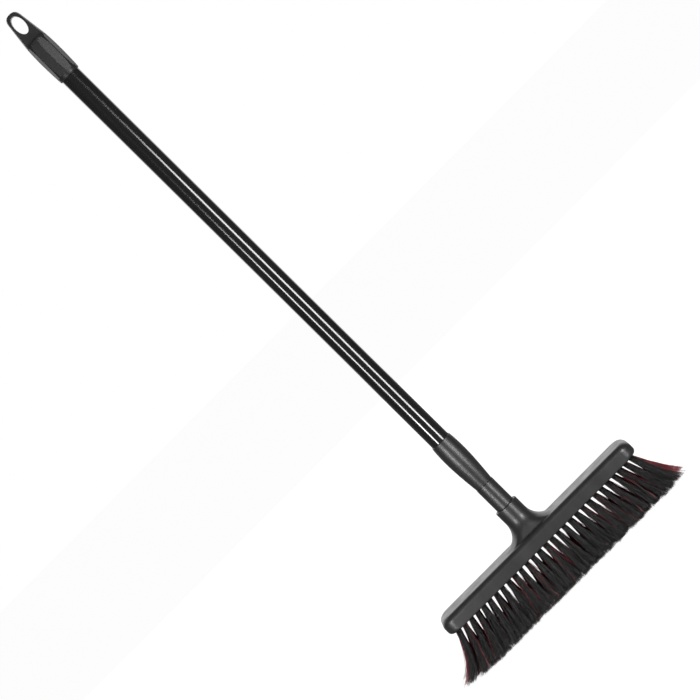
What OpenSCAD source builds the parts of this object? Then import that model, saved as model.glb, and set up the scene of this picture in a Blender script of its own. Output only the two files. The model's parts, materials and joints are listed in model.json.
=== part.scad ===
// Indoor broom with a twist-lock telescopic handle that screws into a tufted head.
// It stands upright on its bristle tips: Z runs up the handle, X along the head, front is -Y.

/* [Handle] */
// Outside diameter of the outer tube
tube_d = 25; // [24:0.5:26]
// Wall of both steel tubes
tube_wall = 0.5; // [0.4:0.05:0.6]
// Length of outer tube in view between the collar and the hanging cap
grip_len = 596; // [560:2:700]
// How far the outer tube draws out
stroke = 460; // [300:10:480]
// Length of the tapered collar
collar_len = 71.5; // [68:0.5:80]
// Length of the hanging cap
cap_len = 97; // [92:1:110]
// Length of the screw tip's round shoulder in view
shoulder_len = 34.5; // [30:0.5:45]

/* [Head] */
// Length of the head
block_len = 302; // [240:2:360]
// Front to back depth of the head
block_depth = 56; // [54:1:60]
// Height of the bristle block
block_h = 20; // [18:1:26]
// Height of the socket neck above the block
neck_h = 41; // [38:1:50]
// Outside diameter of the socket
socket_d = 30.6; // [30:0.2:34]

/* [Bristles] */
// Length of bristle below the block
tuft_len = 59; // [50:1:80]
// Distance between tufts along a row
tuft_pitch = 10; // [9:0.5:12]
// Distance between rows
row_pitch = 10.5; // [8.5:0.5:11]
// Diameter of a tuft where it leaves the block
tuft_d = 5.2; // [4.6:0.2:5.4]
// Diameter of a tuft at its tips
tuft_tip_d = 10.4; // [9:0.2:11]
// Sideways spread of the tips, as a share of each tuft's place along the row
fan_x = 0.19; // [0.1:0.01:0.25]
// Front and back spread of the tips, as a share of each row's offset
fan_y = 0.9; // [0.8:0.05:1.4]

/* [Hidden] */
$fn = 64;

plastic = "#48494b";
paint_black = "#151516";
bristle_black = "#2b2b2d";
bristle_red = "#8e1426";
nylon = "#d9d6cc";
zinc = "#b9bcc0";

run_gap = 0.05;      // radial clearance of a running fit
fixed_gap = 0.04;    // radial clearance of a pushed-in fit
seam_gap = 0.4;      // between the collar and the shoulder below it
cut = 1;             // how far a cutting shape runs past a face
tiny = 0.01;         // overlap that joins shapes which would only touch

// Heights, from the bristle tips up
block_z = tuft_len;
block_top = block_z + block_h;
mouth_z = block_top + neck_h;
shoulder_top = mouth_z + shoulder_len;
collar_z = shoulder_top + seam_gap;
collar_top = collar_z + collar_len;
cap_z = collar_top + grip_len;

// Tubes
tube_r = tube_d / 2;
tube_bore_r = tube_r - tube_wall;
slide_space = 1;                      // radial space between the two tubes
inner_r = tube_bore_r - slide_space;
inner_bore_r = inner_r - tube_wall;
collar_seat = 24;                     // height of the tube's end above the collar's lower edge
cap_seat = 45;                        // depth of tube inside the cap
tube_z = collar_z + collar_seat;
tube_len = cap_z + cap_seat - tube_z;
bush_len = 36;
bush_top = tube_z + bush_len;
end_play = 1;
plug_z = bush_top + stroke + end_play;  // top of the inner tube

// Screw joint between the tip and the socket
shoulder_r = 12;
shoulder_sink = 3;
shoulder_room = 0.3;                  // radial space round the shoulder where it sinks into the socket
thread_crest_r = 10;
thread_core_r = 8.8;
thread_pitch = 5;
thread_turns = 5;
spigot_len = 38;
tip_core_r = 7;

// Cam lock on top of the inner tube
plug_depth = 32;
flange_h = 4;
cam_space = 0.8;                      // between the cam ring and the outer tube before it is turned
cam_r = tube_bore_r - cam_space;
cam_h = 16;
lock_turn = 90;                       // turn that jams the cam ring against the outer tube
journal_shift = (cam_space - run_gap) / (2 * sin(lock_turn / 2));
journal_r = 7;
ring_play = 0.2;                      // above and below the cam ring and the glide ring
ring_slit = 1.6;
cam_z = plug_z + flange_h + ring_play;
glide_h = 10;
glide_r = tube_bore_r - 2 * run_gap;
pin_r = 5;
pin_z = cam_z + cam_h + ring_play;
glide_z = pin_z + ring_play;
washer_r = 9;
washer_h = 1.2;
washer_z = glide_z + glide_h + ring_play;
screw_head_r = 4.2;
screw_head_h = 3;
slot_w = 1;
slot_reach = 0.6 * screw_head_r;
screw_crest_r = 2;
screw_core_r = 1.5;
screw_pitch = 1.6;
screw_turns = 14;

// Head
block_end_top_r = 10;
block_end_low_r = 5;
block_plan_r = 14.5;
block_edge_r = 7;
block_foot_r = 1.5;
socket_r = socket_d / 2;
mouth_edge = 1;
flare_r = 24;                         // radius of the hollow sweep from the socket to the block
flare_ease = 0.3;                     // how far the sweep runs on below the top of the block
flare_sink = 2;
foot_y = block_depth / 2 - block_edge_r - 0.5;  // the sweep is cut steeper to end here, front and back
slope_y = socket_r + 1;               // where the steeper cut starts
slope_h = 0.7 * flare_r;
tuft_end_gap = 10;
tufts_in_row = floor((block_len - 2 * tuft_end_gap) / tuft_pitch) + 1;
tuft_hole_gap = 0.1;
tuft_root = 12;
tuft_hole_len = tuft_root + 1;
staple_len = tuft_d + 1.2;
staple_wire = 0.35;
staple_h = 2;
staple_z = block_z + tuft_root - 3;

// Hanging cap
cap_low_r = tube_r + 1.45;
cap_shoulder = 0.572 * cap_len;       // where the round body steps down to the flat tang
cap_shoulder_r = tube_r + 1.4;
tang_top_r = 9.9;
tang_top = 0.89 * cap_len;
tang_t = 13;
hole_half_w = 6.9;
hole_half_h = 12.4;
hole_z = 0.823 * cap_len;
flutes = 8;
flute_w = 10;
flute_low = 4.5;
flute_high = cap_shoulder - 2;
flute_floor = tube_r + 1.2;

// Points of an arc about [x, z]
function arc(x, z, r, from, to, steps = 8) =
    [for (i = [0 : steps]) let (a = from + (to - from) * i / steps) [x + r * cos(a), z + r * sin(a)]];

// Points of a cubic curve from a to d, pulled towards b and c
function curve(a, b, c, d, steps = 20) =
    [for (i = [0 : steps]) let (t = i / steps, u = 1 - t)
        u * u * u * a + 3 * u * u * t * b + 3 * u * t * t * c + t * t * t * d];

// Outline of annular thread ribs, grown by gap all round for the part that receives them
function ribs(core, crest, pitch, turns, gap = 0) = concat(
    [[0, 0], [core + gap, 0]],
    [for (i = [0 : turns - 1], p = [[core, 0.15, -1], [crest, 0.35, -1], [crest, 0.65, 1], [core, 0.85, 1]])
        [p[0] + gap, (i + p[1]) * pitch + p[2] * gap]],
    [[core + gap, turns * pitch], [0, turns * pitch]]);

function tuft_x(i) = (i - (tufts_in_row - 1) / 2) * tuft_pitch;

module ring(z, h, outer, inner) {
    translate([0, 0, z]) difference() {
        cylinder(h = h, r = outer);
        translate([0, 0, -cut]) cylinder(h = h + 2 * cut, r = inner);
    }
}

// A rounded rectangle w wide and h high that stands on the x axis
module slab_outline(w, h, top_r, low_r) {
    polygon(concat(
        arc(w / 2 - low_r, low_r, low_r, -90, 0),
        arc(w / 2 - top_r, h - top_r, top_r, 0, 90),
        arc(top_r - w / 2, h - top_r, top_r, 90, 180),
        arc(low_r - w / 2, low_r, low_r, 180, 270)));
}

module along_y(len) {
    rotate([90, 0, 0]) translate([0, 0, -len / 2]) linear_extrude(len) children();
}

module along_x(len) {
    rotate([0, 0, 90]) along_y(len) children();
}

// ---- outer handle ----

module cap_shape() {
    rotate_extrude() polygon(concat(
        [[0, 0], [cap_low_r - 1, 0]],
        curve([cap_low_r, 1], [cap_low_r + 0.65, 0.155 * cap_len], [cap_low_r + 1.35, 0.39 * cap_len],
            [cap_shoulder_r, cap_shoulder]),
        curve([tang_top_r, tang_top], [tang_top_r - 0.7, 0.977 * cap_len],
            [tang_top_r - 3.9, cap_len], [0, cap_len])));
}

module hang_cap() {
    tang_cut = cap_len - cap_shoulder;
    color(plastic) translate([0, 0, cap_z]) difference() {
        cap_shape();
        for (side = [0, 180])
            rotate([0, 0, side]) translate([-tube_d, tang_t / 2, cap_shoulder])
                cube([2 * tube_d, tube_d, tang_cut + cut]);
        along_y(2 * tube_d) translate([0, hole_z])
            polygon([for (a = [0 : 7.5 : 352.5]) [hole_half_w * cos(a), hole_half_h * sin(a)]]);
        for (i = [0 : flutes - 1])
            rotate([0, 0, (i + 0.5) * 360 / flutes]) translate([flute_floor, 0, 0]) flute_cut();
        translate([0, 0, -cut]) cylinder(h = cap_seat + cut, r = tube_r + fixed_gap);
    }
}

// A slot with round ends, flute_w wide, that cuts outwards along +X
module flute_cut() {
    r = flute_w / 2;
    rotate([90, 0, 90]) linear_extrude(r) {
        translate([0, flute_low + r]) circle(r);
        translate([0, flute_high - r]) circle(r);
        translate([-r, flute_low + r]) square([flute_w, flute_high - flute_low - flute_w]);
    }
}

module outer_tube() {
    color(paint_black) ring(tube_z, tube_len, tube_r, tube_bore_r);
}

module lock_collar() {
    color(plastic) translate([0, 0, collar_z]) difference() {
        rotate_extrude() polygon(concat(
            [[0, 0]],
            curve([tube_r - 1, 0], [tube_r + 1.4, 0.34 * collar_len], [tube_r + 3.6, 0.66 * collar_len],
                [tube_r + 1.1, collar_len - 1]),
            [[tube_r + 0.5, collar_len], [0, collar_len]]));
        translate([0, 0, -cut]) cylinder(h = collar_len, r = inner_r + 2 * run_gap);
        translate([0, 0, collar_seat]) cylinder(h = collar_len, r = tube_r + fixed_gap);
    }
}

module guide_bush() {
    color(nylon) ring(tube_z, bush_len, tube_bore_r - fixed_gap, inner_r + run_gap);
}

// ---- cam lock ----

// A ring from z up, split on one side so that it can spring
module split_ring(z, h, outer, inner) {
    difference() {
        ring(z, h, outer, inner);
        translate([0, -ring_slit / 2, z - cut]) cube([2 * outer, ring_slit, h + 2 * cut]);
    }
}

// Turns in the outer tube with the handle's grip, and keeps the inner tube central
module glide_ring() {
    color(nylon) split_ring(glide_z, glide_h, glide_r, pin_r + run_gap);
}

// Its bore lies off centre, on the plug's journal, so that a turn pushes it against the outer tube
module cam_ring() {
    color(nylon) difference() {
        translate([0, 0, cam_z]) cylinder(h = cam_h, r = cam_r);
        translate([journal_shift, 0, cam_z - cut]) cylinder(h = cam_h + 2 * cut, r = journal_r + run_gap);
        translate([-2 * cam_r, -ring_slit / 2, cam_z - cut]) cube([2 * cam_r, ring_slit, cam_h + 2 * cut]);
    }
}

module lock_plug() {
    color(nylon) difference() {
        union() {
            translate([0, 0, plug_z - plug_depth])
                cylinder(h = plug_depth + tiny, r = inner_bore_r - fixed_gap);
            translate([0, 0, plug_z]) cylinder(h = flange_h, r = inner_r);
            translate([journal_shift, 0, plug_z])
                cylinder(h = pin_z - plug_z, r = journal_r);
            translate([0, 0, plug_z]) cylinder(h = washer_z - plug_z, r = pin_r);
        }
        translate([0, 0, washer_z - screw_turns * screw_pitch - cut])
            cylinder(h = screw_turns * screw_pitch + 2 * cut, r = screw_crest_r + fixed_gap);
    }
}

module plug_washer() {
    color(zinc) ring(washer_z, washer_h, washer_r, screw_crest_r + run_gap);
}

module plug_screw() {
    head_z = washer_z + washer_h;
    shank_z = head_z + tiny - screw_turns * screw_pitch;
    color(zinc) {
        translate([0, 0, shank_z]) rotate_extrude()
            polygon(ribs(screw_core_r, screw_crest_r, screw_pitch, screw_turns));
        difference() {
            translate([0, 0, head_z]) cylinder(h = screw_head_h, r = screw_head_r);
            for (turn = [0, 90])
                rotate([0, 0, turn])
                    translate([-slot_reach, -slot_w / 2, head_z + screw_head_h / 2])
                        cube([2 * slot_reach, slot_w, screw_head_h]);
        }
    }
}

// ---- inner handle ----

module inner_tube() {
    color(paint_black) ring(shoulder_top, plug_z - shoulder_top, inner_r, inner_bore_r);
}

module threaded_tip() {
    thread_len = thread_pitch * thread_turns;
    sink_z = mouth_z - shoulder_sink;
    color(plastic) difference() {
        union() {
            translate([0, 0, sink_z])
                cylinder(h = shoulder_top - sink_z, r = shoulder_r);
            translate([0, 0, shoulder_top - tiny])
                cylinder(h = spigot_len, r = inner_bore_r - fixed_gap);
            translate([0, 0, sink_z - thread_len]) rotate_extrude()
                polygon(ribs(thread_core_r, thread_crest_r, thread_pitch, thread_turns));
        }
        translate([0, 0, mouth_z]) cylinder(h = shoulder_len + spigot_len + cut, r = tip_core_r);
    }
}

// ---- head ----

module block_shape() {
    intersection() {
        along_y(block_depth + 2 * cut)
            slab_outline(block_len, block_h, block_end_top_r, block_end_low_r);
        along_x(block_len + 2 * cut)
            slab_outline(block_depth, block_h, block_edge_r, block_foot_r);
        translate([0, 0, -cut]) linear_extrude(block_h + 2 * cut) translate([0, -block_depth / 2])
            slab_outline(block_len, block_depth, block_plan_r, block_plan_r);
    }
}

// The socket, with a hollow sweep all round it down to the block, steeper to the front and back
module neck_shape() {
    low_y = foot_y + flare_sink * (foot_y - slope_y) / slope_h;
    intersection() {
        rotate_extrude() polygon(concat(
            [[0, neck_h], [socket_r - mouth_edge, neck_h], [socket_r, neck_h - mouth_edge]],
            arc(socket_r + flare_r, flare_r - flare_ease, flare_r, 180, 270, 20),
            [[socket_r + flare_r, -flare_sink], [0, -flare_sink]]));
        along_x(block_len) polygon([[-low_y, -flare_sink], [low_y, -flare_sink], [slope_y, slope_h],
            [slope_y, neck_h + cut], [-slope_y, neck_h + cut], [-slope_y, slope_h]]);
    }
}

module socket_bore() {
    sink_z = neck_h - shoulder_sink;
    thread_len = thread_pitch * thread_turns;
    translate([0, 0, sink_z - 2 * run_gap])
        cylinder(h = shoulder_sink + cut, r = shoulder_r + shoulder_room);
    translate([0, 0, sink_z - thread_len - 2 * run_gap]) rotate_extrude()
        polygon(ribs(thread_core_r, thread_crest_r, thread_pitch, thread_turns, 2 * run_gap));
    translate([0, 0, sink_z - thread_len - cut])
        cylinder(h = thread_len + cut, r = thread_core_r + 2 * run_gap);
}

module head_block() {
    color(plastic) difference() {
        union() {
            translate([0, 0, block_z]) block_shape();
            translate([0, 0, block_top]) neck_shape();
        }
        translate([0, 0, block_top]) socket_bore();
        for (row = [-1.5 : 1.5], i = [0 : tufts_in_row - 1])
            translate([tuft_x(i), row * row_pitch, block_z - cut])
                cylinder(h = tuft_hole_len + cut, r = tuft_d / 2 + tuft_hole_gap);
    }
}

// One tuft: a straight root in its hole, and a cone below that leans to its place in the fan
module tuft(x, y) {
    lean_x = x * fan_x;
    lean_y = y * fan_y;
    reach = sqrt(lean_x * lean_x + lean_y * lean_y + tuft_len * tuft_len);
    over = tuft_tip_d / 2;
    translate([x, y, block_z - tiny]) cylinder(h = tuft_root + tiny, r = tuft_d / 2);
    intersection() {
        translate([x, y, block_z]) rotate([asin(lean_y / reach), -atan2(lean_x, tuft_len), 0])
            translate([0, 0, -reach - over])
                cylinder(h = reach + 2 * over, r1 = tuft_tip_d / 2, r2 = tuft_d / 2);
        translate([-block_len, -block_len, 0]) cube([2 * block_len, 2 * block_len, block_z]);
    }
}

module tuft_row(row) {
    difference() {
        for (i = [0 : tufts_in_row - 1])
            tuft(tuft_x(i), row * row_pitch);
        staple_row(row, fixed_gap);
    }
}

// Flat wire anchors, one across each tuft hole
module staple_row(row, gap = 0) {
    size = [staple_wire + 2 * gap, staple_len + 2 * gap, staple_h + 2 * gap];
    for (i = [0 : tufts_in_row - 1])
        translate([tuft_x(i), row * row_pitch, staple_z] - size / 2) cube(size);
}

module front_black_tufts() {
    color(bristle_black) tuft_row(-1.5);
}

module front_red_tufts() {
    color(bristle_red) tuft_row(-0.5);
}

module rear_red_tufts() {
    color(bristle_red) tuft_row(0.5);
}

module rear_black_tufts() {
    color(bristle_black) tuft_row(1.5);
}

module front_black_staples() {
    color(zinc) staple_row(-1.5);
}

module front_red_staples() {
    color(zinc) staple_row(-0.5);
}

module rear_red_staples() {
    color(zinc) staple_row(0.5);
}

module rear_black_staples() {
    color(zinc) staple_row(1.5);
}

hang_cap();
outer_tube();
lock_collar();
guide_bush();
glide_ring();
cam_ring();
lock_plug();
plug_washer();
plug_screw();
inner_tube();
threaded_tip();
head_block();
front_black_tufts();
front_red_tufts();
rear_red_tufts();
rear_black_tufts();
front_black_staples();
front_red_staples();
rear_red_staples();
rear_black_staples();
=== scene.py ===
"""An indoor broom with a telescopic handle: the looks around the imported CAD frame."""

import json
import math

import bpy
import numpy as np
from mathutils import Matrix, Vector


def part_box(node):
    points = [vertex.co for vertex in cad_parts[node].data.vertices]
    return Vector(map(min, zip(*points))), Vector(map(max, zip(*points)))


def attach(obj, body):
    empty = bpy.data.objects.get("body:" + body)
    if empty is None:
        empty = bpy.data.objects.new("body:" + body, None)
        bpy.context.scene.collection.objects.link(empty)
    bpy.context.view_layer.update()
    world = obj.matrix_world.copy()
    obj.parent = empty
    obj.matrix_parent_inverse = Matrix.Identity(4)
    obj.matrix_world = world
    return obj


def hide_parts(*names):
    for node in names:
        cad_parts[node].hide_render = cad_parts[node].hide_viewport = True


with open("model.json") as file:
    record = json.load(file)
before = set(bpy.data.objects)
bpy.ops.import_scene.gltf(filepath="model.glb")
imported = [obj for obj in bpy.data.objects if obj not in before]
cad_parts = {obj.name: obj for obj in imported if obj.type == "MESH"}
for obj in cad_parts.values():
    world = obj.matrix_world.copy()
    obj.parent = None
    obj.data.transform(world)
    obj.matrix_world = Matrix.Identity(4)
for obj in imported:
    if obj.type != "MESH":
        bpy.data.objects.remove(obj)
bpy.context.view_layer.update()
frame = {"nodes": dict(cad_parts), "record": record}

MM = 0.001
SEED = 20

# ---- places taken from the frame ----
HEAD_LOW, HEAD_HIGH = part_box("head_block")
STAPLE_LOW, STAPLE_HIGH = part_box("front_black_staples")

BLOCK_Z = HEAD_LOW[2]                    # underside of the bristle block
MOUTH_Z = HEAD_HIGH[2]                   # mouth of the socket
HALF_LEN = HEAD_HIGH[0]
HALF_DEEP = HEAD_HIGH[1]
BLOCK_H = 20 * MM
BLOCK_TOP = BLOCK_Z + BLOCK_H


# ---- materials ----

def new_material(name):
    """An empty node material with its principled shader and a helper that adds linked nodes."""
    mat = bpy.data.materials.new(name)
    mat.use_nodes = True
    tree = mat.node_tree
    shader = tree.nodes["Principled BSDF"]

    def add(kind, links=(), **settings):
        node = tree.nodes.new(kind)
        for key, value in settings.items():
            setattr(node, key, value)
        for socket, source in links:
            tree.links.new(source, node.inputs[socket])
        return node

    return mat, tree, shader, add


def object_space(add, stretch):
    """Object coordinates, in metres, times stretch."""
    where = add("ShaderNodeTexCoord")
    node = add("ShaderNodeMapping", [("Vector", where.outputs["Object"])])
    node.inputs["Scale"].default_value = stretch
    return node.outputs["Vector"]


def noise(add, scale, detail=3, roughness=0.5, stretch=(1, 1, 1)):
    """A noise value with about scale features to the metre."""
    node = add("ShaderNodeTexNoise", [("Vector", object_space(add, stretch))])
    node.inputs["Scale"].default_value = scale
    node.inputs["Detail"].default_value = detail
    node.inputs["Roughness"].default_value = roughness
    return node.outputs["Fac"]


def spread(add, value, low, high, from_low=0.3, from_high=0.7):
    """Maps a value onto low to high. Most of a noise value lies between the two defaults."""
    node = add("ShaderNodeMapRange", [("Value", value)])
    node.inputs["From Min"].default_value = from_low
    node.inputs["From Max"].default_value = from_high
    node.inputs["To Min"].default_value = low
    node.inputs["To Max"].default_value = high
    return node.outputs["Result"]


def mixed(add, factor, a, b):
    """A colour between a and b, which are colours or sockets. The factor is a socket."""
    node = add("ShaderNodeMix", [("Factor", factor)], data_type="RGBA")
    colour_a, colour_b, result = 6, 7, 2  # places of the colour sockets, whose names other types share
    for place, value in ((colour_a, a), (colour_b, b)):
        if isinstance(value, bpy.types.NodeSocket):
            node.id_data.links.new(value, node.inputs[place])
        else:
            node.inputs[place].default_value = (*value, 1)
    return node.outputs[result]


def bump(add, tree, shader, height, strength, distance, normal=None):
    """Bump on the shader, over another normal if one is given."""
    node = add("ShaderNodeBump", [("Height", height)])
    node.inputs["Strength"].default_value = strength
    node.inputs["Distance"].default_value = distance
    if normal is not None:
        tree.links.new(normal, node.inputs["Normal"])
    tree.links.new(node.outputs["Normal"], shader.inputs["Normal"])


def moulded_plastic(name, dark, light):
    """Matte moulded plastic: a fine spark grain, cloudy shade, duller scuffs and softly worn edges."""
    mat, tree, shader, add = new_material(name)
    cloud = noise(add, scale=28, detail=4)
    colour = mixed(add, spread(add, cloud, low=0, high=1), dark, light)
    scuff = noise(add, scale=60, detail=6, roughness=0.7, stretch=(1, 1, 0.25))
    tree.links.new(colour, shader.inputs["Base Color"])
    tree.links.new(spread(add, scuff, low=0.33, high=0.45), shader.inputs["Roughness"])
    shader.inputs["IOR"].default_value = 1.49
    edge = add("ShaderNodeBevel", samples=4)
    edge.inputs["Radius"].default_value = 0.5 * MM
    grain = noise(add, scale=2600, detail=2)
    bump(add, tree, shader, grain, strength=0.12, distance=0.05 * MM, normal=edge.outputs["Normal"])
    return mat


def gloss_paint(name, dark, light):
    """Black stove enamel on drawn tube: glossy, with faint orange peel and hairlines along it."""
    mat, tree, shader, add = new_material(name)
    hairline = noise(add, scale=900, roughness=0.6, stretch=(1, 1, 0.01))
    colour = mixed(add, spread(add, hairline, low=0, high=1), dark, light)
    dull = noise(add, scale=30, stretch=(1, 1, 0.2))
    tree.links.new(colour, shader.inputs["Base Color"])
    tree.links.new(spread(add, dull, low=0.12, high=0.16), shader.inputs["Roughness"])
    shader.inputs["IOR"].default_value = 1.52
    peel = noise(add, scale=420, detail=2)
    bump(add, tree, shader, peel, strength=0.03, distance=0.03 * MM)
    return mat


def plated_steel(name, colour):
    """Zinc plated steel, for the small parts inside."""
    mat, tree, shader, add = new_material(name)
    shade = tuple(0.75 * c for c in colour)
    tree.links.new(mixed(add, noise(add, scale=300, detail=4), shade, colour),
                   shader.inputs["Base Color"])
    tree.links.new(spread(add, noise(add, scale=800), low=0.25, high=0.45), shader.inputs["Roughness"])
    shader.inputs["Metallic"].default_value = 1
    return mat


def natural_nylon(name, dark, light):
    """Unpainted nylon, for the lock and the bush inside: a little light passes into it."""
    mat, tree, shader, add = new_material(name)
    tree.links.new(mixed(add, noise(add, scale=90), dark, light), shader.inputs["Base Color"])
    tree.links.new(spread(add, noise(add, scale=200), low=0.35, high=0.5), shader.inputs["Roughness"])
    shader.inputs["Subsurface Weight"].default_value = 0.1
    shader.inputs["Subsurface Radius"].default_value = (2 * MM, 2 * MM, 2 * MM)
    return mat


def fibre(name, painted_root_shade, body, tip, tip_share):
    """Synthetic bristle: each fibre has its own shade, and the split tips are paler.

    Up to tip_share of the tip colour shows at the tips. Towards the block the colour turns to a painted
    root shade, which stands in for the shadow under the block and between the packed strands.
    """
    mat, tree, shader, add = new_material(name)
    strand = add("ShaderNodeNewGeometry").outputs["Random Per Island"]
    shade = add("ShaderNodeAttribute", attribute_name="shade").outputs["Fac"]
    where = add("ShaderNodeTexCoord").outputs["Object"]
    up = add("ShaderNodeSeparateXYZ", [("Vector", where)]).outputs["Z"]
    near_tip = spread(add, up, low=1, high=0, from_low=0, from_high=0.3 * BLOCK_Z)
    # painted shade: the strands darken towards the block, where the block and the packed tufts shadow them
    painted_shade_near_root = spread(add, up, low=0, high=1, from_low=0.6 * BLOCK_Z, from_high=BLOCK_Z)
    own_share = spread(add, strand, low=0, high=tip_share, from_low=0, from_high=1)
    pale = add("ShaderNodeMath", [(0, near_tip), (1, own_share)], operation="MULTIPLY")
    colour = mixed(add, shade, painted_root_shade, body)
    colour = mixed(add, pale.outputs[0], colour, tip)
    # the painted root shade over the top of each strand, next to the block
    colour = mixed(add, painted_shade_near_root, colour, painted_root_shade)
    rough = spread(add, strand, low=0.38, high=0.62, from_low=0, from_high=1)
    tree.links.new(colour, shader.inputs["Base Color"])
    tree.links.new(rough, shader.inputs["Roughness"])
    shader.inputs["Sheen Weight"].default_value = 0.04
    shader.inputs["Specular IOR Level"].default_value = 0.3
    return mat


GREY = moulded_plastic("grey_plastic", dark=(0.0118, 0.0115, 0.0116), light=(0.0155, 0.0152, 0.0153))
PAINT = gloss_paint("black_paint", dark=(0.005, 0.005, 0.0053), light=(0.009, 0.009, 0.0094))
NYLON = natural_nylon("nylon", dark=(0.66, 0.64, 0.57), light=(0.78, 0.76, 0.7))
ZINC = plated_steel("zinc_steel", (0.62, 0.63, 0.65))
# the root colours are painted shade, darker than the fibres' own colour, for the shadow under the block
BLACK_FIBRE = fibre("black_bristle", painted_root_shade=(0.005, 0.005, 0.0051), body=(0.017, 0.0168, 0.0168),
                    tip=(0.08, 0.075, 0.075), tip_share=0.5)
RED_FIBRE = fibre("red_bristle", painted_root_shade=(0.12, 0.004, 0.011), body=(0.32, 0.010, 0.028),
                  tip=(0.78, 0.36, 0.38), tip_share=0.9)

SLOT_MATERIALS = {
    "grey_plastic": GREY,
    "black_paint": PAINT,
    "nylon": NYLON,
    "zinc_steel": ZINC,
    "black_bristle": BLACK_FIBRE,
    "red_bristle": RED_FIBRE,
}


def paint_frame():
    """Gives every CAD node the material of its slot."""
    slots = {s["node"]: s["material_slot"] for s in frame["record"]["subparts"]}
    for node, obj in frame["nodes"].items():
        obj.data.materials.clear()
        obj.data.materials.append(SLOT_MATERIALS[slots[node]])


# ---- meshes ----

def mesh_piece(name, verts, faces, material):
    """A smooth shaded mesh in the scene."""
    mesh = bpy.data.meshes.new(name)
    mesh.from_pydata([tuple(v) for v in verts], [], faces)
    mesh.validate()
    mesh.update()
    mesh.polygons.foreach_set("use_smooth", [True] * len(mesh.polygons))
    obj = bpy.data.objects.new(name, mesh)
    bpy.context.scene.collection.objects.link(obj)
    mesh.materials.append(material)
    return obj


# ---- head ----

SOCKET_R = 15.3 * MM
SWEEP_R = 24 * MM                        # hollow sweep from the socket down to the block
QUARTER = SWEEP_R * math.pi / 2          # length of the whole sweep
EASY = 30 * MM                           # the flat part's steps grow from this length outwards
DRAWN_DOWN = 4                           # power: the higher, the nearer the edge a cut sweep drops
PLAN_R = 14.5 * MM                       # corners seen from above
END_LOW_R, END_TOP_R = 5 * MM, 10 * MM   # low and top edges of the two ends
FOOT_R, EDGE_R = 1.5 * MM, 7 * MM        # low and top edges of the front and back
UNDER_IN = 3 * MM                        # from the low edges to the ring that closes the underside
UNDER_R = 9 * MM
BORE_R = 12.3 * MM                       # the socket's mouth, round the tip's shoulder
DEEP_BORE_R = 10.1 * MM                  # the socket below that, round the screw
BORE_DEPTH = 3 * MM
DEEP_BORE_FLOOR = BLOCK_TOP + 10 * MM
STEP_H = 0.1 * MM                        # height of the step between the two bores
RIM_R = 1.1 * MM                         # rounded outer edge of the mouth
LIP = 0.3 * MM                           # bevelled inner edge of the mouth
RIM_STEPS = 6
CORNER_STEPS = 12
SIDE_STEPS = 64
END_STEPS = 6
END_EDGE_STEPS = 10
SIDE_EDGE_STEPS = 8
TOP_STEPS = 34
SIDE_TURN = math.radians(81)             # spaces the points of a long side for rays from the middle


def rounded_ring(half_x, half_y, radius, z):
    """A rounded rectangle at height z, with the same number of points whatever its size."""
    flat_x, flat_y = half_x - radius, half_y - radius
    ring = []
    corners = ((1, 1, 0), (-1, 1, 90), (-1, -1, 180), (1, -1, 270))
    for number, (sx, sy, start) in enumerate(corners):
        for i in range(CORNER_STEPS + 1):
            a = math.radians(start + 90 * i / CORNER_STEPS)
            ring.append((sx * flat_x + radius * math.cos(a), sy * flat_y + radius * math.sin(a), z))
        if number % 2 == 0:
            for i in range(1, SIDE_STEPS):
                share = math.tan(SIDE_TURN * (1 - 2 * i / SIDE_STEPS)) / math.tan(SIDE_TURN)
                ring.append((sx * flat_x * share, sy * half_y, z))
        else:
            for i in range(1, END_STEPS):
                ring.append((sx * half_x, sy * flat_y * (1 - 2 * i / END_STEPS), z))
    return ring


def loft(name, rings, material):
    """A closed skin over rings of equal length, capped at both ends."""
    count = len(rings[0])
    verts = [p for ring in rings for p in ring]
    faces = []
    for k in range(len(rings) - 1):
        for i in range(count):
            j = (i + 1) % count
            faces.append((k * count + i, k * count + j, (k + 1) * count + j, (k + 1) * count + i))
    faces.append(tuple(reversed(range(count))))
    faces.append(tuple((len(rings) - 1) * count + i for i in range(count)))
    return mesh_piece(name, verts, faces, material)


def inset(z, low_r, top_r):
    """How far the block's wall stands in at height z, with its low and top edges rounded."""
    if z < BLOCK_Z + low_r:
        return low_r - math.sqrt(max(low_r**2 - (BLOCK_Z + low_r - z)**2, 0))
    if z > BLOCK_TOP - top_r:
        return top_r - math.sqrt(max(top_r**2 - (z - BLOCK_TOP + top_r)**2, 0))
    return 0.0


def arc_heights(low_r, top_r, steps):
    """Heights that step evenly round both edge arcs of the block."""
    turns = [math.pi / 2 * i / steps for i in range(steps + 1)]
    return ([BLOCK_Z + low_r * (1 - math.cos(a)) for a in turns]
            + [BLOCK_TOP - top_r * (1 - math.cos(a)) for a in turns])


def block_rings():
    """The block from its underside to the edge of its top."""
    heights = sorted(set(arc_heights(END_LOW_R, END_TOP_R, END_EDGE_STEPS)
                         + arc_heights(FOOT_R, EDGE_R, SIDE_EDGE_STEPS)))
    rings = [rounded_ring(HALF_LEN - END_LOW_R - UNDER_IN, HALF_DEEP - FOOT_R - UNDER_IN, UNDER_R, BLOCK_Z)]
    for z in heights:
        in_x, in_y = inset(z, END_LOW_R, END_TOP_R), inset(z, FOOT_R, EDGE_R)
        rings.append(rounded_ring(HALF_LEN - in_x, HALF_DEEP - in_y, PLAN_R - in_y, z))
    return rings


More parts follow.
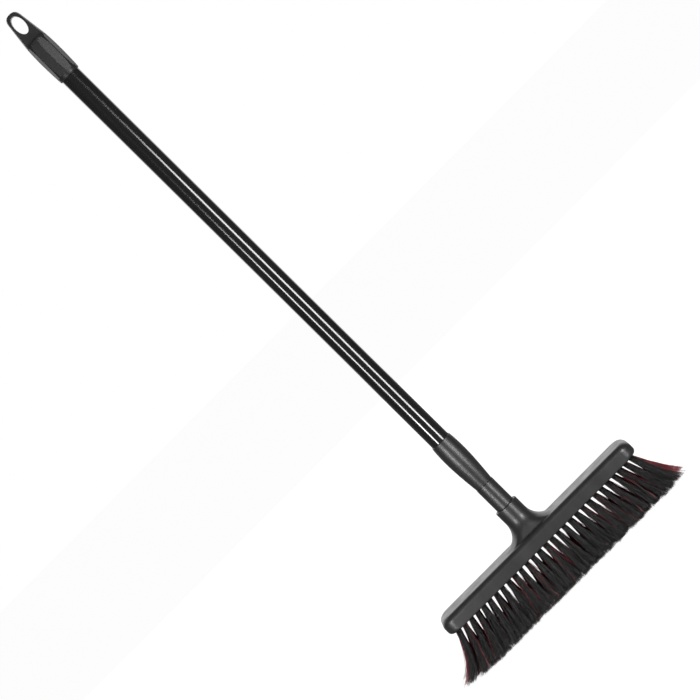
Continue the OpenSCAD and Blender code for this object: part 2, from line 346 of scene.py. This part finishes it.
def top_rays(edge):
    """Each point of the edge with its room to the socket, the length of top it takes and its overshoot.

    The overshoot is how far above the block a full sweep would still be when it passes the edge.
    """
    rays = []
    for x, y, _ in edge:
        room = math.hypot(x, y) - SOCKET_R
        if room < SWEEP_R:
            whole = SWEEP_R * math.acos(1 - room / SWEEP_R)
        else:
            whole = QUARTER + EASY * math.log(1 + (room - SWEEP_R) / EASY)
        over_edge = SWEEP_R * (1 - math.sin(min(whole, QUARTER) / SWEEP_R))
        rays.append((x, y, room, whole, over_edge))
    return rays


def top_rings(edge):
    """From the edge of the top inwards along rays, over the hollow sweep, to the socket.

    Towards the front and back the top ends before the sweep does, so there the sweep is drawn down to
    meet the edge.
    """
    rings = []
    rays = top_rays(edge)
    for k in range(1, TOP_STEPS + 1):
        ring = []
        for x, y, room, whole, over_edge in rays:
            along = whole * (1 - k / TOP_STEPS)
            turn = min(along, QUARTER) / SWEEP_R
            out = SWEEP_R * (1 - math.cos(turn))
            if along > QUARTER:
                out += EASY * (math.exp((along - QUARTER) / EASY) - 1)
            rise = SWEEP_R * (1 - math.sin(turn)) - over_edge * (out / room)**DRAWN_DOWN
            scale = (SOCKET_R + out) / math.hypot(x, y)
            ring.append((x * scale, y * scale, BLOCK_TOP + rise))
        rings.append(ring)
    return rings


def mouth_rings(edge):
    """The socket's wall above the sweep, its rim, and the bore down inside it."""
    above_sweep = 4 * MM
    lip_wall = 0.6 * MM                  # a short ring of wall that keeps the lip crisp when shaded
    profile = [(SOCKET_R, BLOCK_TOP + SWEEP_R + above_sweep), (SOCKET_R, MOUTH_Z - 2 * RIM_R)]
    for i in range(RIM_STEPS + 1):
        a = math.pi / 2 * i / RIM_STEPS
        profile.append((SOCKET_R - RIM_R * (1 - math.cos(a)), MOUTH_Z - RIM_R * (1 - math.sin(a))))
    profile += [(BORE_R + LIP, MOUTH_Z),
                (BORE_R, MOUTH_Z - LIP),
                (BORE_R, MOUTH_Z - LIP - lip_wall),
                (BORE_R, MOUTH_Z - BORE_DEPTH),
                (DEEP_BORE_R, MOUTH_Z - BORE_DEPTH - STEP_H),
                (DEEP_BORE_R, DEEP_BORE_FLOOR)]
    return [[(x * r / math.hypot(x, y), y * r / math.hypot(x, y), z) for x, y, _ in edge]
            for r, z in profile]


def make_head():
    """The moulded head: bristle block, sweep and socket in one skin."""
    block = block_rings()
    edge = block[-1]
    head = loft("head_shell", block + top_rings(edge) + mouth_rings(edge), GREY)
    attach(head, "head")
    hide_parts("head_block")


# ---- bristles ----

TUFT_PITCH = 10 * MM
TUFTS = round((STAPLE_HIGH[0] - STAPLE_LOW[0]) / TUFT_PITCH) + 1
HALF_ROW = (TUFTS - 1) / 2 * TUFT_PITCH
STRANDS = 140                            # in each tuft
CLUMPS = 14                              # in each tuft
SIDES = 3                                # of a strand
STRAND_R = 0.19 * MM
SPLIT_R = 0.12 * MM                      # of the hair that splits off a strand
ANY_ANGLE = 6.3                          # radians, about a full turn

# Roots: each clump's place in its tuft, and each strand's place in its clump
TUFT_R = 3.0 * MM
CLUMP_REACH = 0.8                        # share of the tuft's radius that the clumps fill
ROOT_SCATTER = 0.45 * MM
ROOT_UP = 1.2 * MM                       # how far a strand runs up into its hole
GIRTH = 1.05                             # of a tuft in the middle of its row, as a share of TUFT_R
END_GIRTH = 0.2                          # added at the ends of the row
GIRTH_SCATTER = 0.08

# Spread: where a strand has got to when it reaches the floor
FAN_X = 0.125                            # as a share of the tuft's place along the row
FAN_Y = 0.55                             # as a share of the row's place front to back
OPEN_OUT = 2.1                           # added to a strand's distance from its tuft's middle, times it
OPEN_SCATTER = 0.25
OPEN_LIMITS = (1.6, 2.6)
CLUMP_LEAN_X, CLUMP_LEAN_Y = 1.3 * MM, 0.8 * MM
TUFT_LEAN_Y = 0.8 * MM
STRAY_X, STRAY_Y = 1.6 * MM, 1.0 * MM
LEFT_CURL, RIGHT_CURL = -9 * MM, 1.5 * MM  # of the last tufts, outwards on the left and the right
CURL_LIFT = 0.5                          # share of its curl by which a tip rises

# Tips: most end near the floor, and a few are shorter
TIP_SCATTER, CLUMP_TIP_SCATTER = 0.8 * MM, 0.5 * MM
SHORT_SHARE = 0.10
SHORT_BY = 4 * MM

# Waves along a strand
WAVE, WAVE_SCATTER = 0.45 * MM, 0.25 * MM
WAVE_AT_ROOT = 0.15                      # share of a wave at the root, where it grows from
FROM_SCATTER = 0.5
LEAST_WAVES, WAVES_SPREAD = 9, 10        # radians of wave from root to tip

# Strand thickness, as shares of STRAND_R or SPLIT_R
THINNEST, GIRTH_SPREAD = 0.8, 0.4
TAPER, TAPER_FROM = 1.25, 0.72           # thickness lost for each share of the way, and from where
HAIR_ROOT, HAIR_TAPER = 1.1, 0.4
SPLIT_FROM, SPLIT_SPREAD = 0.55, 0.38    # where a hair leaves its strand, as a share of the way down
HAIR_AWAY, HAIR_SHORT = 0.9 * MM, 0.7 * MM
SHAFT_POINTS, HAIR_POINTS = 11, 4

# Shade of each clump and strand, and where red strands show among the black ones
MID_SHADE, CLUMP_SHADE, STRAND_SHADE = 0.5, 0.24, 0.16
BESIDE = 0.6                             # share of TUFT_R from where a strand counts as beside its tuft


def prisms(lines, radii, turns):
    """Closed three sided prisms along many lines at once: lines is (count, rings, 3)."""
    count, rings, _ = lines.shape
    angle = turns[:, None] + np.arange(SIDES)[None, :] * 2 * math.pi / SIDES
    verts = np.repeat(lines[:, :, None, :], SIDES, axis=2)
    verts[..., 0] += radii[:, :, None] * np.cos(angle)[:, None, :]
    verts[..., 1] += radii[:, :, None] * np.sin(angle)[:, None, :]
    start = np.arange(count)[:, None, None] * rings * SIDES
    ring = np.arange(rings - 1)[None, :, None] * SIDES
    here = np.arange(SIDES)[None, None, :]
    after = (here + 1) % SIDES
    quads = np.stack([start + ring + here, start + ring + SIDES + here,
                      start + ring + SIDES + after, start + ring + after], axis=-1)
    first = start[:, 0] + np.arange(SIDES)[None, :]
    last = start[:, 0] + (rings - 1) * SIDES + np.arange(SIDES)[None, ::-1]
    return verts.reshape(-1, 3), quads.reshape(-1, 4), np.concatenate([first, last])


def column(values):
    """One row for each strand, ready to meet the points along it."""
    return values[:, None]


class Strands:
    """The strands of one row: where each starts in its tuft and how it runs down to the floor.

    end_lean pushes the end tufts outwards, sway moves whole tufts sideways, and a larger bend keeps
    the tufts narrow for longer.
    """

    def __init__(self, random, row_y, end_lean, sway, bend):
        self.random, self.row_y, self.bend = random, row_y, bend
        self.count = TUFTS * STRANDS
        self.tuft = np.repeat(np.arange(TUFTS), STRANDS)
        self.clump = self.tuft * CLUMPS + np.tile(np.arange(STRANDS) * CLUMPS // STRANDS, TUFTS)
        self.x0 = self.tuft * TUFT_PITCH - HALF_ROW
        self.along = self.x0 / HALF_ROW
        self.set_roots()
        self.set_spread(end_lean, sway)
        self.set_tips()
        self.set_waves()

    def each(self, scatter):
        """A draw for every strand."""
        return self.random.normal(0, scatter, self.count)

    def each_clump(self, scatter):
        """A draw for every clump, shared by its strands."""
        return self.random.normal(0, scatter, TUFTS * CLUMPS)[self.clump]

    def each_tuft(self, scatter):
        """A draw for every tuft, shared by its strands."""
        return self.random.normal(0, scatter, TUFTS)[self.tuft]

    def set_roots(self):
        """Each strand's place at the block, from the middle of its tuft."""
        clump_r = CLUMP_REACH * TUFT_R * np.sqrt(self.random.random(TUFTS * CLUMPS))
        clump_a = 2 * math.pi * self.random.random(TUFTS * CLUMPS)
        dx = (clump_r * np.cos(clump_a))[self.clump] + self.each(ROOT_SCATTER)
        dy = (clump_r * np.sin(clump_a))[self.clump] + self.each(ROOT_SCATTER)
        limit = np.maximum(np.hypot(dx, dy) / TUFT_R, 1)
        girth = (GIRTH + END_GIRTH * self.along**2 + self.each_tuft(GIRTH_SCATTER)) / limit
        self.dx, self.dy = dx * girth, dy * girth

    def set_spread(self, end_lean, sway):
        """How far tufts, clumps and strands move sideways on the way down."""
        self.lean_x = self.each_tuft(sway) + self.each_clump(CLUMP_LEAN_X)
        self.lean_y = self.each_tuft(TUFT_LEAN_Y) + self.each_clump(CLUMP_LEAN_Y)
        self.open_out = np.clip(OPEN_OUT + self.each_tuft(OPEN_SCATTER), *OPEN_LIMITS)
        self.stray_x, self.stray_y = self.each(STRAY_X), self.each(STRAY_Y)
        self.pull = end_lean * np.sign(self.along) * np.abs(self.along)**5
        self.curl = np.where(self.along < 0, LEFT_CURL, RIGHT_CURL) * np.abs(self.along)**12

    def set_tips(self):
        """How far above the floor each strand ends."""
        self.tip_z = np.abs(self.each(TIP_SCATTER)) + np.abs(self.each_clump(CLUMP_TIP_SCATTER))
        short = self.random.random(self.count) < SHORT_SHARE
        self.tip_z += np.where(short, SHORT_BY * self.random.random(self.count), 0)

    def set_waves(self):
        """The size, start, direction and number of waves along each strand."""
        self.wave = np.abs(WAVE + self.each_clump(WAVE_SCATTER))
        clump_from = ANY_ANGLE * self.random.random(TUFTS * CLUMPS)[self.clump]
        self.wave_from = clump_from + self.each(FROM_SCATTER)
        self.wave_turn = ANY_ANGLE * self.random.random(self.count)
        self.waves = LEAST_WAVES + WAVES_SPREAD * self.random.random(TUFTS * CLUMPS)[self.clump]

    def at(self, share):
        """Points at each share of the way down, 0 at the block and 1 at the tips.

        share has a row for each strand, or one row for all of them.
        """
        open_by = 1 + column(self.open_out) * share**self.bend
        phase = column(self.waves) * share + column(self.wave_from)
        swing = column(self.wave) * (WAVE_AT_ROOT + share) * np.sin(phase)
        x = (column(self.x0) * (1 + FAN_X * share) + column(self.dx) * open_by
             + column(self.lean_x + self.pull) * share + column(self.stray_x) * share**2
             + column(self.curl) * share**4 + swing * np.cos(column(self.wave_turn)))
        y = (self.row_y * (1 + FAN_Y * share) + column(self.dy) * open_by
             + column(self.lean_y) * share + column(self.stray_y) * share**2
             + swing * np.sin(column(self.wave_turn)))
        lift = CURL_LIFT * np.abs(column(self.curl)) * share**5
        z = BLOCK_Z - (BLOCK_Z - column(self.tip_z)) * share + lift
        return np.stack([x, y, z], axis=-1)

    def parts(self):
        """The shaft of every strand, and the hair that splits off it, as (lines, radii)."""
        girth = THINNEST + GIRTH_SPREAD * self.random.random((self.count, 1))
        down = np.linspace(0, 1, SHAFT_POINTS)[None, :]
        shaft = self.at(down)
        shaft[:, 0, 2] += ROOT_UP
        taper = np.minimum(1, 1 - TAPER * (down - TAPER_FROM))
        split_at = column(SPLIT_FROM + SPLIT_SPREAD * self.random.random(self.count))
        steps = np.linspace(0, 1, HAIR_POINTS)[None, :]
        hair = self.at(split_at + (1 - split_at) * steps)
        away = self.random.normal(0, HAIR_AWAY, (self.count, 2))
        hair[:, :, 0] += away[:, :1] * steps
        hair[:, :, 1] += away[:, 1:] * steps
        hair[:, -1, 2] += np.abs(self.each(HAIR_SHORT))
        return ((shaft, STRAND_R * girth * taper),
                (hair, SPLIT_R * girth * (HAIR_ROOT - HAIR_TAPER * steps)))


def bristle_piece(name, parts, chosen, shade, random, material):
    """One mesh of the chosen strands, each with its own shade."""
    verts, quads, ends, shades, base = [], [], [], [], 0
    for lines, radii in parts:
        v, q, e = prisms(lines[chosen], radii[chosen], random.random(chosen.sum()) * ANY_ANGLE)
        verts.append(v)
        quads.append(q + base)
        ends.append(e + base)
        shades.append(np.repeat(shade[chosen], lines.shape[1] * SIDES))
        base += len(v)
    verts = np.concatenate(verts)
    verts[:, 2] = np.maximum(verts[:, 2], 0)
    faces = np.concatenate(quads).tolist() + np.concatenate(ends).tolist()
    piece = mesh_piece(name, verts, faces, material)
    layer = piece.data.attributes.new("shade", "FLOAT", "POINT")
    layer.data.foreach_set("value", np.concatenate(shades).astype(np.float32))
    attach(piece, "head")
    return piece


def make_row(row, seed, main, stray_share, **shape):
    """One row of tufts in its main fibre, with a share of red strands beside the tufts."""
    staple_low, staple_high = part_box(row + "_staples")
    random = np.random.default_rng(seed)
    strands = Strands(random, (staple_low[1] + staple_high[1]) / 2, **shape)
    clump_shade = random.normal(0, CLUMP_SHADE, TUFTS * CLUMPS)[strands.clump]
    shade = np.clip(MID_SHADE + clump_shade + strands.each(STRAND_SHADE), 0, 1)
    share = stray_share * 2 * random.random(TUFTS)[strands.tuft]
    beside = np.abs(strands.dx) > BESIDE * TUFT_R
    strays = beside & (random.random(strands.count) < share)
    parts = strands.parts()
    piece = bristle_piece(row + "_bristles", parts, ~strays, shade, random, main)
    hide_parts(row + "_tufts")
    if strays.any():
        bristle_piece(row + "_bristles_red", parts, strays, shade, random, RED_FIBRE)


BLACK_ROW = dict(main=BLACK_FIBRE, stray_share=0.05, end_lean=2.0 * MM, sway=0.7 * MM, bend=2.2)
RED_ROW = dict(main=RED_FIBRE, stray_share=0, end_lean=3.6 * MM, sway=2.4 * MM, bend=1.7)
ROWS = (("front_black", BLACK_ROW), ("front_red", RED_ROW),
        ("rear_red", RED_ROW), ("rear_black", BLACK_ROW))


def make_bristles():
    """All rows, each with its own seed."""
    for number, (row, style) in enumerate(ROWS):
        make_row(row, SEED + number, **style)


# ---- stage ----

FLOOR_HALF = 9.0                         # metres


def stage_material():
    """White to the camera with a faint shadow, and dimmer in what the broom reflects."""
    mat = bpy.data.materials.new("pale_floor")
    mat.use_nodes = True
    nodes, links = mat.node_tree.nodes, mat.node_tree.links
    nodes.clear()
    seen = nodes.new("ShaderNodeBsdfPrincipled")
    seen.inputs["Base Color"].default_value = (0.3, 0.3, 0.3, 1)
    seen.inputs["Roughness"].default_value = 1.0
    seen.inputs["Specular IOR Level"].default_value = 0.0
    seen.inputs["Emission Color"].default_value = (1, 1, 1, 1)
    seen.inputs["Emission Strength"].default_value = 0.93
    lit = nodes.new("ShaderNodeBsdfDiffuse")
    lit.inputs["Color"].default_value = (0.4, 0.4, 0.4, 1)
    mix = nodes.new("ShaderNodeMixShader")
    path = nodes.new("ShaderNodeLightPath")
    out = nodes.new("ShaderNodeOutputMaterial")
    links.new(path.outputs["Is Camera Ray"], mix.inputs[0])
    links.new(lit.outputs[0], mix.inputs[1])
    links.new(seen.outputs[0], mix.inputs[2])
    links.new(mix.outputs[0], out.inputs["Surface"])
    return mat


def make_stage():
    """A pale floor under the broom."""
    corners = ((-1, -1), (1, -1), (1, 1), (-1, 1))
    verts = [(sx * FLOOR_HALF, sy * FLOOR_HALF, 0) for sx, sy in corners]
    floor = mesh_piece("floor", verts, [(0, 1, 2, 3)], stage_material())


# ---- light ----

LIGHT_TURN = math.radians(35)            # of the side lights, to each side of the front


def area_light(name, place, aim, size, power):
    """A rectangular light that the camera doesn't see. Lengths are in metres and power in watts."""
    data = bpy.data.lights.new(name, "AREA")
    data.shape = "RECTANGLE"
    data.size, data.size_y = size
    data.energy = power
    light = bpy.data.objects.new(name, data)
    bpy.context.scene.collection.objects.link(light)
    light.location = place
    towards = Vector(aim) - Vector(place)
    light.rotation_euler = towards.to_track_quat("-Z", "Y").to_euler()
    light.visible_camera = False


def side_light(name, side, away, height, size, power):
    """A light to one side of the front, -1 for left and 1 for right, level with its own height."""
    place = (side * away * math.sin(LIGHT_TURN), -away * math.cos(LIGHT_TURN), height)
    area_light(name, place, (0, 0, height), size, power)


def make_lights():
    """Two strips that draw the streaks on the tube, low lights for the neck, and soft light around."""
    side_light("left_strip", side=-1, away=2.0, height=0.26, size=(0.34, 0.51), power=15)
    side_light("right_strip", side=1, away=2.0, height=0.38, size=(0.50, 0.74), power=28)
    side_light("left_low", side=-1, away=0.7, height=0.10, size=(0.14, 0.19), power=2.0)
    side_light("right_low", side=1, away=0.7, height=0.10, size=(0.14, 0.19), power=1.2)
    area_light("backdrop", place=(0, 3.0, 1.2), aim=(0, 0, 0.5), size=(7.0, 3.6), power=115)
    area_light("front_fill", place=(0, -3.0, 1.5), aim=(0, 0, 0.1), size=(3.0, 0.3), power=2.5)


def make_world():
    """White to the camera, and a dim even light on the broom."""
    world = bpy.data.worlds.new("studio")
    bpy.context.scene.world = world
    world.use_nodes = True
    nodes, links = world.node_tree.nodes, world.node_tree.links
    sky = nodes["Background"]
    sky.inputs["Color"].default_value = (1, 1, 1, 1)
    sky.inputs["Strength"].default_value = 0.16
    seen = nodes.new("ShaderNodeBackground")
    seen.inputs["Strength"].default_value = 1.0
    seen.inputs["Color"].default_value = (1, 1, 1, 1)
    mix = nodes.new("ShaderNodeMixShader")
    links.new(nodes.new("ShaderNodeLightPath").outputs["Is Camera Ray"], mix.inputs[0])
    links.new(sky.outputs[0], mix.inputs[1])
    links.new(seen.outputs[0], mix.inputs[2])
    links.new(mix.outputs[0], nodes["World Output"].inputs["Surface"])


# ---- camera ----

CAMERA_PLACE = (0.0780, -3.1780, 0.6059)
CAMERA_AZIMUTH = math.radians(1.383)
CAMERA_DIP = math.radians(4.164)
CAMERA_ROLL = math.radians(-45.343)
LENS = 142.40057                         # mm of focal length
SENSOR = 36.0                            # mm
FAR = 100                                # metres; the floor's far edge lies well inside it


def make_camera():
    """The photo's view: nearly level and square on, and rolled, so that the broom leans in it."""
    data = bpy.data.cameras.new("camera")
    data.sensor_width = SENSOR
    data.lens = LENS
    data.clip_end = FAR
    camera = bpy.data.objects.new("camera", data)
    bpy.context.scene.collection.objects.link(camera)
    level = Matrix.Rotation(math.pi / 2 - CAMERA_DIP, 4, "X")
    turn = Matrix.Rotation(CAMERA_AZIMUTH, 4, "Z")
    roll = Matrix.Rotation(CAMERA_ROLL, 4, "Z")
    camera.matrix_world = Matrix.Translation(CAMERA_PLACE) @ turn @ level @ roll
    bpy.context.scene.camera = camera


def main():
    make_camera()
    paint_frame()
    make_head()
    make_bristles()
    make_stage()
    make_lights()
    make_world()
    bpy.context.scene.view_settings.view_transform = "Standard"


main()
